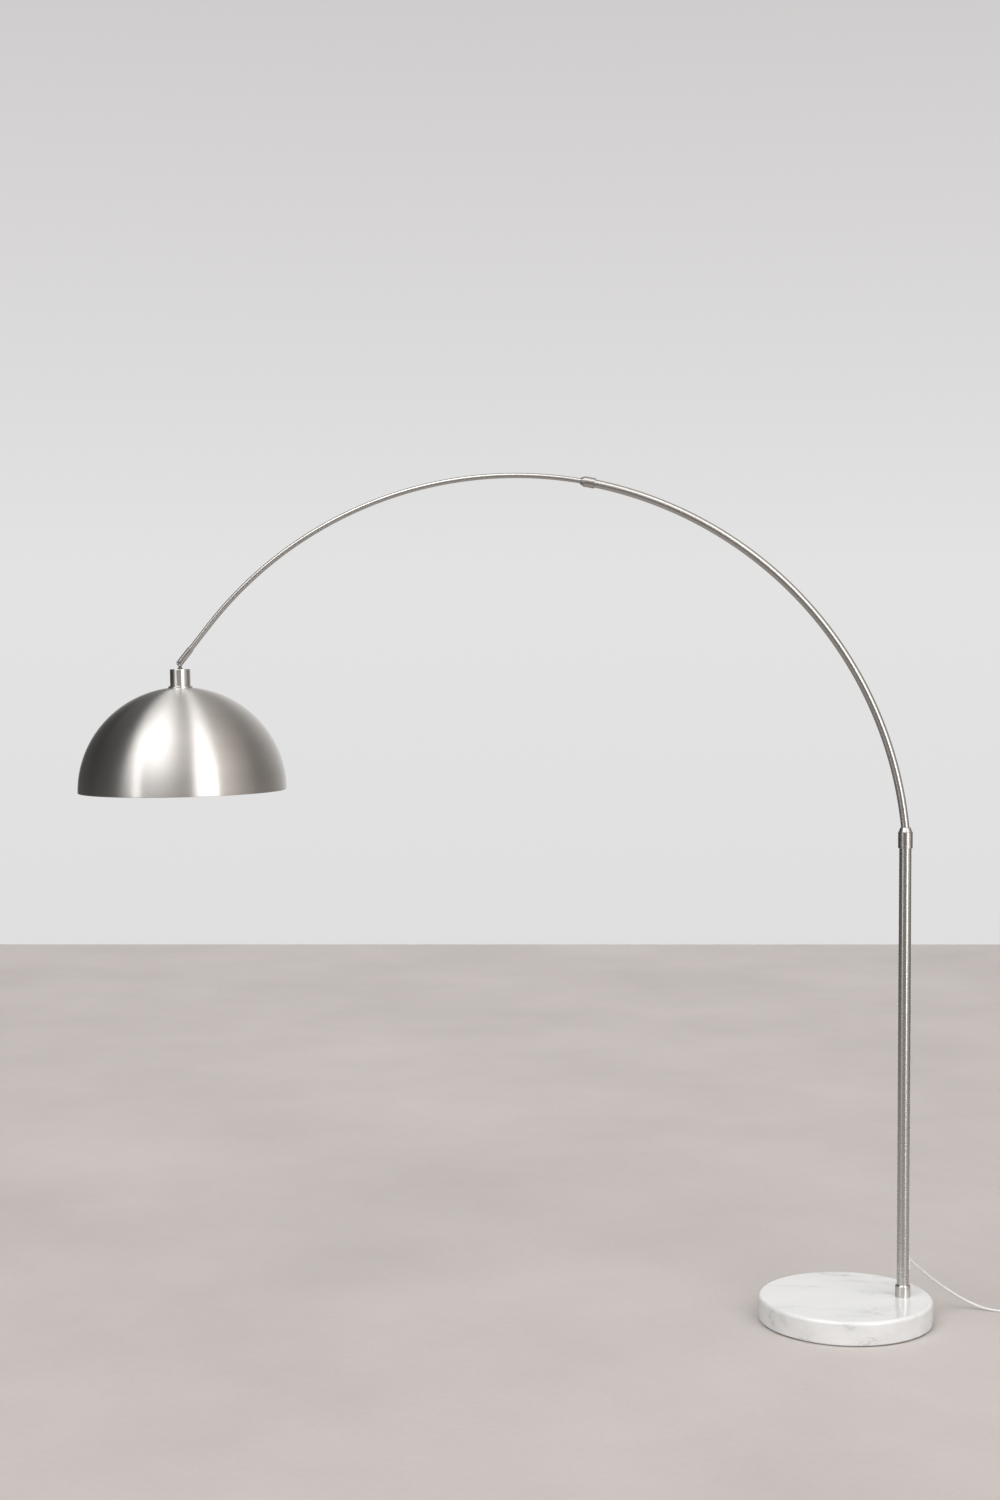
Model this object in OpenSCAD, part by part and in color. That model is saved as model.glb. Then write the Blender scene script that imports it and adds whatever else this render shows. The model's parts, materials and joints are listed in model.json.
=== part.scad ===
// Arc floor lamp: a marble base, an upright post, a telescoping curved arm
// in two sections with knurled clamp nuts, and a hemispherical spun shade
// that hangs from a tilting joint at the arm's end.
// Millimetres. Origin: centre of the base's underside, +Z up, the post
// stands on the +X side and the arm reaches over the base to -X.

/* [Base] */
// Diameter of the marble disc
base_d = 400; // [360:5:440]
// Height of the marble's top above the floor
base_top = 56; // [50:1:70]
// Thickness of the felt pad under the marble
pad_t = 3; // [2:0.5:4]
// Radius of the marble's polished top edge
base_edge = 8; // [2:0.5:10]
// Distance of the post from the middle of the base
post_x = 132; // [110:1:150]

/* [Post] */
// Outside diameter of the post tube
post_d = 28; // [28:1:30]
// Wall of the post tube
post_wall = 1.5; // [1.2:0.1:1.5]
// Height at which the post tube ends, inside its clamp nut
post_top = 1104; // [1090:1:1104]
// Diameter of the collar at the post's foot
foot_d = 35; // [33:1:40]
// Height of the collar at the post's foot
foot_h = 29; // [20:1:40]
// Diameter of the knurled clamp nut on the post
post_nut_d = 33; // [32:0.5:36]

/* [Arm] */
// Radius of the arm's centreline
arm_r = 900; // [900:1:900]
// Height of the centre that both arm sections turn about
arm_cz = 1052.3; // [1052.3:0.1:1052.3]
// Outside diameter of the lower arm tube
lower_d = 19; // [19:1:19]
// Wall of the lower arm tube
lower_wall = 1.5; // [1.2:0.1:1.5]
// Outside diameter of the upper arm tube
upper_d = 12; // [12:1:12]
// Wall of the upper arm tube
upper_wall = 1.2; // [1:0.1:1.5]
// Angle on the arc of the clamp nut between the two arm sections
nut_angle = 79.15; // [79.15:0.01:79.15]
// Diameter of the knurled clamp nut between the arm sections
arm_nut_d = 23.8; // [23.4:0.1:26]
// Angle on the arc where the upper arm tube goes straight
upper_end = 141.5; // [141.5:0.1:141.5]
// Length of the upper arm tube's straight end
upper_straight = 70; // [70:0.1:70]

/* [Shade joint] */
// Diameter of the forked ferrule on the arm's end
ferrule_d = 15; // [14:0.5:16]
// Distance from the ferrule's open end face to the tilt pivot
ferrule_len = 41; // [40:1:44]
// Lean of the hanging shade, degrees
shade_lean = 0.72; // [0:0.01:1]

/* [Shade] */
// Outside diameter of the hemispherical shade
shade_d = 480; // [480:1:480]
// Wall of the spun shade
shade_wall = 1; // [0.8:0.1:1.2]
// Diameter of the socket cup above the shade
cup_d = 47; // [46:1:50]
// Height of the socket cup
cup_h = 42; // [42:1:42]

/* [Cord] */
// Diameter of the mains cord
cord_d = 5.5; // [5:0.1:6]
// Number of turns in the coil, three side by side in two layers
coil_turns = 6; // [6:1:6]

/* [Hidden] */

$fn = 64;
steel = "silver";
white = "whitesmoke";
e = 0.01;
post_id = post_d - 2 * post_wall;
lower_id = lower_d - 2 * lower_wall;
upper_id = upper_d - 2 * upper_wall;

// The arm: a straight shank in the post, mitred to one circle of radius arm_r
// that both sections follow.
arm_cx = -763.84;
arm_lean = acos((post_x - arm_cx) / arm_r);
mitre_z = arm_cz + arm_r * sin(arm_lean);
shank_z = 725;
lower_end = nut_angle + 0.13;
upper_start = 64;
guide_w = 0.9;

// The tilt pivot, and the shade's own frame that hangs from it.
dir_x = -sin(upper_end);
dir_z = cos(upper_end);
end_x = arm_cx + arm_r * cos(upper_end) + dir_x * upper_straight;
end_z = arm_cz + arm_r * sin(upper_end) + dir_z * upper_straight;
pivot_x = end_x + dir_x * ferrule_len;
pivot_z = end_z + dir_z * ferrule_len;
cup_top = -14.5;
cup_low = cup_top - cup_h;
apex = -56;
rim = apex - shade_d / 2;

// Where the cord leaves the post, and the direction of its strain relief.
boot_at = [143.5, 9.6, 143.5];
boot_az = 40.1;
boot_down = 37.2;
boot_len = 25;

// The free cord's route, chosen by hand: it drops from the strain relief to
// the floor beside the base and runs to the foot switch.
lead_route = [[143.5, 9.6, 143.5], [158.7, 22.4, 128.4], [163.4, 26.3, 123.7], [171, 33, 116.5], [180, 40.5, 108], [190, 48, 98.5], [203, 57, 86], [217, 65, 73.5],
    [232, 72, 61.5], [248, 78.5, 49.5], [264, 83.5, 38.5], [281, 86.5, 27.5], [298, 87, 18.5], [315, 85.5, 11],
    [332, 81, 6], [348, 75, 3.4], [363, 69, 2.8], [377, 64.5, 3.4], [389, 61.8, 5], [400, 61, 6], [406, 61, 6]];
link_route = [[488, 61, 6], [494, 61, 6], [503, 62.8, 5.2], [511, 68, 4.3], [516.6, 76, 3.7], [519, 85.5, 3.6], [519.2, 96, 3.6], [519, 106, 3.6]];
tail_route = [[518, 104.6, 9.05], [522.2, 112, 9.1], [524.3, 121, 9.1], [524.5, 131, 8.7], [524.5, 139, 7.7], [524.5, 147, 6.9]];
switch_at = [412, 61];
switch_len = 70;
switch_w = 30;
switch_mid = 6;
coil_at = [480.5, 122];
coil_r = 38.5;
tie_t = 0.8;
plug_at = [524.5, 147, 6.9];

// ---------- helpers ----------
module ring_cyl(ro, ri, h) { difference() { cylinder(r = ro, h = h); translate([0, 0, -1]) cylinder(r = ri, h = h + 2); } }

// A swept circle about the arm's centre, from angle a to angle b.
module swing(cx, cz, r, pr, a, b) {
    translate([cx, 0, cz]) rotate([90, 0, 0]) rotate([0, 0, a])
        rotate_extrude(angle = b - a, $fn = 256) translate([r, 0]) circle(r = pr, $fn = 48);
}
module swing_ring(cx, cz, r, ro, ri, a, b) {
    translate([cx, 0, cz]) rotate([90, 0, 0]) rotate([0, 0, a])
        rotate_extrude(angle = b - a, $fn = 256) translate([r, 0]) difference() { circle(r = ro, $fn = 48); circle(r = ri, $fn = 48); }
}
// Local frame on the arm's circle, +Z along the arm towards the shade.
module on_arm(a) { translate([arm_cx + arm_r * cos(a), 0, arm_cz + arm_r * sin(a)]) rotate([0, -a, 0]) children(); }
module at_post() { translate([post_x, 0, 0]) children(); }
module at_ferrule() { translate([end_x, 0, end_z]) rotate([0, -upper_end, 0]) children(); }
module at_shade() { translate([pivot_x, 0, pivot_z]) rotate([0, -shade_lean, 0]) children(); }
module at_boot() { translate(boot_at) rotate([0, 90 + boot_down, boot_az]) children(); }

function unit(v) = v / norm(v);
function tangent(p, i) = unit(p[min(i + 1, len(p) - 1)] - p[max(i - 1, 0)]);
function hoop(c, t, r, n, up) = let(u = unit(cross(t, up)), v = cross(u, t))
    [for (k = [0:n - 1]) c + r * (cos(360 * k / n) * u + sin(360 * k / n) * v)];
// A tube of n sides swept along the points p.
module sweep(p, r, n, up = [0, 0, 1]) {
    m = len(p);
    pts = [for (i = [0:m - 1]) each hoop(p[i], tangent(p, i), r, n, up)];
    sides = [for (i = [0:m - 2]) for (k = [0:n - 1]) let(a = i * n + k, b = i * n + (k + 1) % n) each [[a, a + n, b + n], [a, b + n, b]]];
    ends = [[for (k = [0:n - 1]) k], [for (k = [0:n - 1]) (m - 1) * n + n - 1 - k]];
    polyhedron(points = pts, faces = concat(sides, ends));
}
module capsule(l, w) { union() { translate([w / 2, 0]) circle(d = w); translate([l - w / 2, 0]) circle(d = w); translate([w / 2, -w / 2]) square([l - w, w]); } }

// ---------- base ----------
module base_pad() {
    color("dimgray") difference() {
        cylinder(d = base_d - 24, h = pad_t, $fn = 128);
        translate([post_x, 0, -1]) cylinder(d = 56, h = pad_t + 2);
    }
}
module marble_base() {
    r = base_d / 2; q = base_edge; b = 2;
    color("white") difference() {
        rotate_extrude($fn = 160) polygon(concat([[0, pad_t], [r - b, pad_t]],
            [for (k = [1:4]) [r - b + b * sin(k * 22.5), pad_t + b - b * cos(k * 22.5)]],
            [for (k = [0:12]) [r - q + q * cos(k * 7.5), base_top - q + q * sin(k * 7.5)]], [[0, base_top]]));
        translate([post_x, 0, -1]) cylinder(d = 50, h = 20);
        translate([post_x, 0, 0]) cylinder(d = 14, h = base_top + 2);
    }
}
module base_washer() { color("darkgray") at_post() translate([0, 0, 16]) ring_cyl(20, 6.5, 3); }
module base_bolt() {
    color("gray") at_post() union() {
        translate([0, 0, 8.5]) cylinder(r = 11, h = 7.5, $fn = 6);
        translate([0, 0, 15]) cylinder(d = 12, h = 65);
    }
}
module post_plug() { color("gray") at_post() translate([0, 0, base_top]) ring_cyl(post_id / 2, 6, 30); }

// ---------- post ----------
module foot_collar() {
    color(steel) at_post() difference() {
        rotate_extrude() polygon([[post_d / 2, base_top], [foot_d / 2 - 0.5, base_top], [foot_d / 2, base_top + 0.5],
            [foot_d / 2, base_top + foot_h - 3.4], [foot_d / 2 - 0.7, base_top + foot_h - 1.6], [post_d / 2 + 1, base_top + foot_h], [post_d / 2, base_top + foot_h]]);
    }
}
module post_tube() {
    color(steel) difference() {
        at_post() translate([0, 0, base_top]) difference() {
            cylinder(d = post_d, h = post_top - base_top);
            translate([0, 0, -1]) cylinder(d = post_id, h = post_top - base_top + 2);
        }
        at_boot() translate([0, 0, -7]) cylinder(r = 4.4, h = 12);
    }
}
// Threaded sleeve in the post's top, which the clamp nut screws onto.
module post_head() {
    color("gray") at_post() rotate_extrude() polygon([[10.5, post_top - 44], [post_id / 2, post_top - 44], [post_id / 2, post_top],
        [13.3, post_top], [13.3, post_top + 20], [10.5, post_top + 20]]);
}
// Nylon collet that turns in the post's head and guides the arm's shank.
module post_collet() {
    color("ivory") at_post() rotate_extrude() polygon([[9.6, post_top - 40], [10.2, post_top - 40], [10.2, post_top + 20.3],
        [12.6, post_top + 20.3], [12.6, post_top + 22], [10.6, post_top + 27], [9.6, post_top + 27]]);
}
module post_clamp_nut() {
    r = post_nut_d / 2; z = post_top - 7;
    color(steel) at_post() rotate_extrude() polygon([[14.3, z], [r - 0.6, z], [r, z + 0.6], [r, z + 37.4], [r - 0.6, z + 38],
        [r - 1.4, z + 38], [11.7, z + 47.5], [10.9, z + 47.5], [10.9, z + 38], [13.6, z + 31], [13.6, z + 9], [14.3, z + 8]]);
}

// ---------- lower arm ----------
// Straight tube that slides in the post, mitred to the bent tube inside the clamp nut.
module arm_shank() {
    color(steel) difference() {
        translate([post_x, 0, shank_z]) ring_cyl(lower_d / 2, lower_id / 2, mitre_z - shank_z + 3);
        on_arm(arm_lean) translate([-30, -30, 0]) cube(60);
    }
}
module lower_arm_tube() { color(steel) swing_ring(arm_cx, arm_cz, arm_r, lower_d / 2, lower_id / 2, arm_lean, lower_end); }
module arm_end_ring() { color("ivory") translate([post_x, 0, shank_z]) ring_cyl(12.2, lower_d / 2, 20); }
// Threaded sleeve over the lower arm tube's end.
module arm_head() {
    color("gray") on_arm(nut_angle) difference() {
        translate([0, 0, -6]) cylinder(d = 21.4, h = 8);
        on_arm_undo() swing(arm_cx, arm_cz, arm_r, lower_d / 2, nut_angle - 2, nut_angle + 2);
    }
}
module on_arm_undo() { rotate([0, nut_angle, 0]) translate([-arm_cx - arm_r * cos(nut_angle), 0, -arm_cz - arm_r * sin(nut_angle)]) children(); }
// Nylon collet between the two arm tubes, curved with them.
module arm_collet() {
    color("ivory") difference() {
        union() {
            swing(arm_cx, arm_cz, arm_r, lower_id / 2 - 0.05, nut_angle - 1.2, nut_angle + 0.3);
            swing(arm_cx, arm_cz, arm_r, 9.2, lower_end + 0.02, nut_angle + 0.45);
        }
        swing(arm_cx, arm_cz, arm_r, upper_d / 2 + 0.3, nut_angle - 2, nut_angle + 2);
    }
}
module arm_clamp_nut() {
    r = arm_nut_d / 2;
    color(steel) on_arm(nut_angle) rotate_extrude() polygon([[10, -17], [r - 0.5, -17], [r, -16.5], [r, 9], [r - 0.5, 9.5],
        [r - 1.2, 9.5], [7.6, 17], [6.7, 17], [6.7, 13], [9.8, 9], [11, 8], [11, -7], [10, -8]]);
}

// ---------- upper arm ----------
module upper_arm_tube() {
    color(steel) union() {
        swing_ring(arm_cx, arm_cz, arm_r, upper_d / 2, upper_id / 2, upper_start, upper_end);
        on_arm(upper_end) ring_cyl(upper_d / 2, upper_id / 2, upper_straight + 22);
    }
}
module upper_guide_ring() { color("ivory") swing_ring(arm_cx, arm_cz, arm_r, lower_id / 2 - 0.3, upper_d / 2, upper_start, upper_start + guide_w); }
// Forked ferrule: a socket for the tube, and two ears round the tilt pivot.
module arm_ferrule() {
    r = ferrule_d / 2;
    color(steel) at_ferrule() difference() {
        intersection() {
            rotate_extrude() polygon([[0, 0], [r - 0.8, 0], [r, 0.8], [r, ferrule_len + r + 1], [0, ferrule_len + r + 1]]);
            union() {
                translate([-r, -r, -1]) cube([2 * r, 2 * r, ferrule_len + 1]);
                translate([0, r + 1, ferrule_len]) rotate([90, 0, 0]) cylinder(r = r, h = 2 * r + 2);
            }
        }
        translate([0, 0, -1]) cylinder(d = upper_d, h = 23);
        translate([-r - 1, -2.6, ferrule_len - 8]) cube([2 * r + 2, 5.2, r + 12]);
        translate([0, r + 1, ferrule_len]) rotate([90, 0, 0]) cylinder(d = 4, h = 2 * r + 2);
        translate([0, -4.8, ferrule_len]) rotate([90, 0, 0]) cylinder(d = 7.4, h = 6);
        translate([0, 10.8, ferrule_len]) rotate([90, 0, 0]) cylinder(d = 8.4, h = 6);
    }
}
module pivot_screw() {
    color("gray") translate([pivot_x, 0, pivot_z]) rotate([90, 0, 0]) difference() {
        union() { translate([0, 0, -7]) cylinder(d = 4, h = 12); translate([0, 0, 4.8]) cylinder(d = 7, h = 1.9); }
        translate([-4, -0.5, 6]) cube([8, 1, 2]);
    }
}
module pivot_nut() {
    color("gray") translate([pivot_x, 0, pivot_z]) rotate([-90, 0, 0]) translate([0, 0, 4.8]) difference() {
        cylinder(r = 4, h = 2.2, $fn = 6);
        translate([0, 0, -1]) cylinder(d = 4, h = 4);
    }
}

// ---------- shade joint ----------
module shade_knuckle() {
    color("gray") at_shade() difference() {
        union() {
            translate([0, 2.3, 0]) rotate([90, 0, 0]) cylinder(r = 6.4, h = 4.6);
            translate([-3.4, -2.3, -9.6]) cube([6.8, 4.6, 9]);
            translate([0, 0, -12.5]) cylinder(r1 = 4.6, r2 = 3.4, h = 4);
            translate([0, 0, cup_top]) cylinder(r = 6.5, h = 2.1);
            translate([0, 0, cup_top - 16]) cylinder(d = 10, h = 17);
        }
        rotate([90, 0, 0]) cylinder(d = 4.1, h = 10, center = true);
        translate([0, 0, cup_top - 20]) cylinder(d = 6, h = 18);
    }
}
module swivel_washer() { color("ivory") at_shade() translate([0, 0, cup_top - 3.6]) ring_cyl(9, 5, 1.4); }
module swivel_locknut() {
    color("gray") at_shade() translate([0, 0, cup_top - 8.6]) difference() {
        cylinder(r = 9.8, h = 5, $fn = 6);
        translate([0, 0, -1]) cylinder(d = 10, h = 7);
    }
}

// ---------- shade ----------
module socket_cup() {
    r = cup_d / 2;
    color(steel) at_shade() rotate_extrude() polygon([[5.3, cup_top], [r - 1, cup_top], [r - 0.3, cup_top - 0.3], [r, cup_top - 1],
        [r, cup_low], [r - 1.5, cup_low], [r - 1.5, cup_top - 2], [5.3, cup_top - 2]]);
}
module cup_flange() {
    r = cup_d / 2;
    color(steel) at_shade() difference() {
        rotate_extrude() polygon([[r, cup_low + 3], [r + 3, cup_low + 3], [r + 4.5, cup_low + 1.6], [r + 4.5, cup_low - 3], [r, cup_low - 3]]);
        translate([0, 0, rim]) sphere(d = shade_d, $fn = 192);
    }
}
module shade_dome() {
    R = shade_d / 2;
    color(steel) at_shade() union() {
        difference() {
            translate([0, 0, rim]) difference() {
                sphere(r = R, $fn = 192);
                sphere(r = R - shade_wall, $fn = 192);
                translate([-R - 5, -R - 5, -R - 10]) cube([2 * R + 10, 2 * R + 10, R + 10]);
            }
            translate([0, 0, apex - 10]) cylinder(d = 38.6, h = 20);
        }
        translate([0, 0, rim]) rotate_extrude($fn = 192) polygon([[R - shade_wall - 1.6, 0], [R, 0], [R - 0.01, 2], [R - shade_wall - 0.4, 3], [R - shade_wall - 1.6, 2]]);
    }
}
// Pressed steel disc that carries the lampholder in the cup.
module holder_bracket() {
    color("gray") at_shade() translate([0, 0, cup_top - 22]) difference() {
        cylinder(r = cup_d / 2 - 1.5, h = 1.5);
        translate([0, 0, -1]) cylinder(d = 8, h = 4);
        for (s = [-1, 1]) translate([12 * s, 0, -1]) cylinder(d = 3, h = 4);
    }
}
module holder_screws() {
    color("gray") at_shade() for (s = [-1, 1]) translate([12 * s, 0, cup_top - 29]) union() { cylinder(d = 3, h = 8.5); translate([0, 0, 8.5]) cylinder(d = 5.6, h = 1.8); }
}
module lampholder_body() {
    z1 = cup_top - 22;
    color("white") at_shade() difference() {
        rotate_extrude() polygon([[0, z1], [16, z1], [18.8, z1 - 3], [18.8, z1 - 40], [18, z1 - 52], [14.4, z1 - 52], [14.4, z1 - 14], [5.5, z1 - 14], [5.5, z1 - 10], [0, z1 - 10]]);
        for (s = [-1, 1]) translate([12 * s, 0, z1 - 7.5]) cylinder(d = 3, h = 9);
    }
}
module lampholder_thread() { color("gold") at_shade() translate([0, 0, cup_top - 70]) ring_cyl(14.4, 13.35, 30); }
module lampholder_contact() {
    color("gold") at_shade() union() {
        translate([0, 0, cup_top - 36]) cylinder(r = 5.4, h = 2);
        translate([0, 0, cup_top - 39]) cylinder(r = 3, h = 3.5);
    }
}
module shade_ring() {
    color("white") at_shade() rotate_extrude() polygon([[18.85, -69], [22, -69], [28, -61.5], [28, -59], [27.5, -58.9], [18.85, -58.4]]);
}

// ---------- cord ----------
module cord_strain_relief() {
    color(white) difference() {
        union() {
            intersection() {
                at_post() translate([0, 0, 105]) ring_cyl(16.8, post_d / 2, 56);
                translate([post_x, 0, 134]) rotate([0, 90, boot_az]) linear_extrude(30) union() {
                    square([30, 26], center = true);
                    for (s = [-1, 1]) translate([9 * s, 0]) circle(r = 13);
                }
            }
            at_boot() translate([0, 0, -6.5]) cylinder(r = 4.3, h = 10);
            difference() {
                at_boot() cylinder(r1 = 5.6, r2 = 3.8, h = boot_len);
                at_post() translate([0, 0, 105]) cylinder(d = post_d, h = 56);
            }
        }
        at_boot() translate([0, 0, -8]) cylinder(d = cord_d, h = boot_len + 10);
    }
}
// The cord inside the lamp: from the strain relief up the post, then along each arm section.
module inner_cord_post() {
    color(white) sweep([boot_at, [139.1, 5.9, 147.8], [136.4, 3.6, 152], [134.2, 1.8, 158.5], [132.8, 0.6, 167], [132, 0, 178], [132, 0, 200], [132, 0, 500], [132, 0, 800], [132, 0, 1130]], cord_d / 2, 8, [0.3, 1, 0]);
}
module inner_cord_lower() { color(white) swing(arm_cx, arm_cz, arm_r, cord_d / 2, arm_lean + 0.4, 42); }
module inner_cord_upper() { color(white) swing(arm_cx, arm_cz, arm_r, cord_d / 2, upper_start + 0.3, upper_end - 0.1); }
module cord_lead() { color(white) sweep(lead_route, cord_d / 2, 8); }
module cord_link() { color(white) sweep(link_route, cord_d / 2, 8); }
module cord_tail() { color(white) sweep(tail_route, cord_d / 2, 8); }
module cord_coil() {
    color(white) translate([coil_at[0], coil_at[1], tie_t]) rotate_extrude($fn = 96)
        translate([coil_r - 2.5 * cord_d, 0]) square([3 * cord_d, 2 * cord_d]);
}
module coil_tie() {
    w = 3 * cord_d; h = 2 * cord_d;
    color("white") translate([coil_at[0] - coil_r + cord_d, coil_at[1] + 3.5, 0]) rotate([90, 0, 0]) linear_extrude(7) difference() {
        translate([-w / 2 - tie_t, 0]) square([w + 2 * tie_t, h + 2 * tie_t]);
        translate([-w / 2 - 0.05, tie_t]) square([w + 0.1, h + 0.02]);
    }
}

// ---------- foot switch ----------
module switch_nose(x, s) { translate([x, switch_at[1], switch_mid]) rotate([0, 90 * s, 0]) difference() { cylinder(r1 = 4, r2 = 3.6, h = 12); translate([0, 0, -e]) cylinder(d = cord_d, h = 13); } }
module switch_base() {
    color(white) union() {
        translate([switch_at[0], switch_at[1], 0]) difference() {
            linear_extrude(10) capsule(switch_len, switch_w);
            translate([2, 0, 2]) linear_extrude(10) capsule(switch_len - 4, switch_w - 4);
        }
        switch_nose(switch_at[0] + 1, -1);
        switch_nose(switch_at[0] + switch_len - 1, 1);
    }
}
module switch_cover() {
    color(white) translate([switch_at[0], switch_at[1], 0]) difference() {
        union() {
            translate([0, 0, 10]) linear_extrude(6) capsule(switch_len, switch_w);
            translate([1, 0, 16]) linear_extrude(1) capsule(switch_len - 2, switch_w - 2);
            translate([2.6, 0, 17]) linear_extrude(1) capsule(switch_len - 5.2, switch_w - 5.2);
        }
        translate([2, 0, 9]) linear_extrude(7) capsule(switch_len - 4, switch_w - 4);
        translate([switch_len / 2, 0, 9]) cylinder(d = 23.6, h = 12);
    }
}
module switch_contact_block() { color("gray") translate([switch_at[0] + switch_len / 2 - 14, switch_at[1] - 9, 2]) cube([28, 18, 5]); }
module switch_button() {
    color("white") translate([switch_at[0] + switch_len / 2, switch_at[1], 0]) rotate_extrude() polygon([[0, 10.4], [12.6, 10.4], [12.6, 12.4], [11.5, 12.4],
        [11.5, 20.6], [10.6, 21.6], [8, 21.9], [0, 21.9]]);
}

// ---------- plug ----------
module plug_body() {
    p = plug_at;
    color(white) translate(p) difference() {
        union() {
            rotate([-90, 0, 0]) cylinder(r1 = 3.7, r2 = 5.4, h = 22);
            translate([0, 55, 0]) rotate([90, 0, 0]) linear_extrude(15) union() {
                square([21.4, 13.6], center = true);
                for (s = [-1, 1]) translate([10.7 * s, 0]) circle(d = 13.6);
            }
            translate([0, 41, 0]) rotate([90, 0, 0]) linear_extrude(10) union() {
                square([17, 12.6], center = true);
                for (s = [-1, 1]) translate([8.5 * s, 0]) circle(d = 12.6);
            }
            translate([0, 32, 0]) rotate([90, 0, 0]) linear_extrude(11) union() {
                square([11, 11.4], center = true);
                for (s = [-1, 1]) translate([5.5 * s, 0]) circle(d = 11.4);
            }
        }
        for (s = [-1, 1]) translate([9.5 * s, 41, 0]) rotate([-90, 0, 0]) cylinder(d = 3.2, h = 15);
    }
}
module plug_pins() {
    color("silver") for (s = [-1, 1]) translate([plug_at[0] + 9.5 * s, plug_at[1] + 42, plug_at[2]]) rotate([-90, 0, 0])
        rotate_extrude() polygon([[0, 0], [1.6, 0], [1.6, 13], [2, 13], [2, 30], [1.4, 31.4], [0, 32]]);
}

base_pad();
marble_base();
base_washer();
base_bolt();
post_plug();
foot_collar();
post_tube();
post_head();
post_collet();
post_clamp_nut();
arm_shank();
lower_arm_tube();
arm_end_ring();
arm_head();
arm_collet();
arm_clamp_nut();
upper_arm_tube();
upper_guide_ring();
arm_ferrule();
pivot_screw();
pivot_nut();
shade_knuckle();
swivel_washer();
swivel_locknut();
socket_cup();
cup_flange();
shade_dome();
holder_bracket();
holder_screws();
lampholder_body();
lampholder_thread();
lampholder_contact();
shade_ring();
cord_strain_relief();
inner_cord_post();
inner_cord_lower();
inner_cord_upper();
cord_lead();
switch_base();
switch_cover();
switch_contact_block();
switch_button();
cord_link();
cord_coil();
coil_tie();
cord_tail();
plug_body();
plug_pins();
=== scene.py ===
import json
import math
import bpy
from mathutils import Matrix, Vector


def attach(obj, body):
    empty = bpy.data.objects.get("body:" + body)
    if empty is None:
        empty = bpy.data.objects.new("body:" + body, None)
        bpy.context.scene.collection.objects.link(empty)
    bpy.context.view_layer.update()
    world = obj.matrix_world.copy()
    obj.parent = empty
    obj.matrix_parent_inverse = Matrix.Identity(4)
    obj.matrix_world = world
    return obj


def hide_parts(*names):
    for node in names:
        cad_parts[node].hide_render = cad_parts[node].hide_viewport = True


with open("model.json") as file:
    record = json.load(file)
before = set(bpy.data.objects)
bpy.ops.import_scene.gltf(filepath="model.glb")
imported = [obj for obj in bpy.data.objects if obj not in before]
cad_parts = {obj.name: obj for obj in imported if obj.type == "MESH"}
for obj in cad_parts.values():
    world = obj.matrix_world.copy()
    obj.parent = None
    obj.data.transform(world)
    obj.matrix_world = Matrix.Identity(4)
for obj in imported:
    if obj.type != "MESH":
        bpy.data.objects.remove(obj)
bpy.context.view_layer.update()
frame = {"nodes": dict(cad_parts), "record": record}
scene = bpy.context.scene
MM = 0.001

# ------------------------------------------------------------------ camera
cam_data = bpy.data.cameras.new("camera")
cam_data.sensor_width = 36.0
cam_data.lens = 52.23
cam_data.clip_start, cam_data.clip_end = 0.05, 200.0
cam = bpy.data.objects.new("camera", cam_data)
scene.collection.objects.link(cam)
cam.location = (-0.6005, -5.0043, 1.5628)
cam.matrix_world = (Matrix.Translation(cam.location) @ Matrix.Rotation(math.radians(2.25), 4, "Z")
                    @ Matrix.Rotation(math.radians(87.26), 4, "X") @ Matrix.Rotation(math.radians(-0.17), 4, "Z"))
scene.camera = cam

# ------------------------------------------------------------------ frames
PX, PZ = -1537.286, 1525.694            # tilt pivot
ACX, ACZ, AR = -763.84, 1052.3, 900.0   # the arm's circle
LEAN = math.degrees(math.acos((132 + 763.84) / 900.0))
SHADE = Matrix.Translation((PX, 0, PZ)) @ Matrix.Rotation(math.radians(-0.72), 4, "Y")
POST = Matrix.Translation((132, 0, 0))
BOOT = (Matrix.Translation((143.5, 9.6, 143.5)) @ Matrix.Rotation(math.radians(40.1), 4, "Z")
        @ Matrix.Rotation(math.radians(90 + 37.2), 4, "Y"))


def on_arm(a):
    t = math.radians(a)
    return Matrix.Translation((ACX + AR * math.cos(t), 0, ACZ + AR * math.sin(t))) @ Matrix.Rotation(-t, 4, "Y")


# ------------------------------------------------------------------ mesh helpers
def make(name, verts, faces, body, slot, mat, uvs=None, sharp=35, place=None, replaces=()):
    """A mesh from millimetre points, placed in the row frame, smooth except at edges sharper than sharp."""
    m = bpy.data.meshes.new(name)
    place = place or Matrix.Identity(4)
    m.from_pydata([tuple((place @ Vector(v)) * MM) for v in verts], [], faces)
    if uvs is not None:
        layer = m.uv_layers.new(name="run")
        flat = [c for f in uvs for uv in f for c in uv]
        layer.data.foreach_set("uv", flat)
    m.polygons.foreach_set("use_smooth", [True] * len(m.polygons))
    m.set_sharp_from_angle(angle=math.radians(sharp))
    m.materials.append(mat)
    m.update()
    o = bpy.data.objects.new(name, m)
    scene.collection.objects.link(o)
    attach(o, body)
    if replaces:
        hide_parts(*replaces)
    return o


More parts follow.
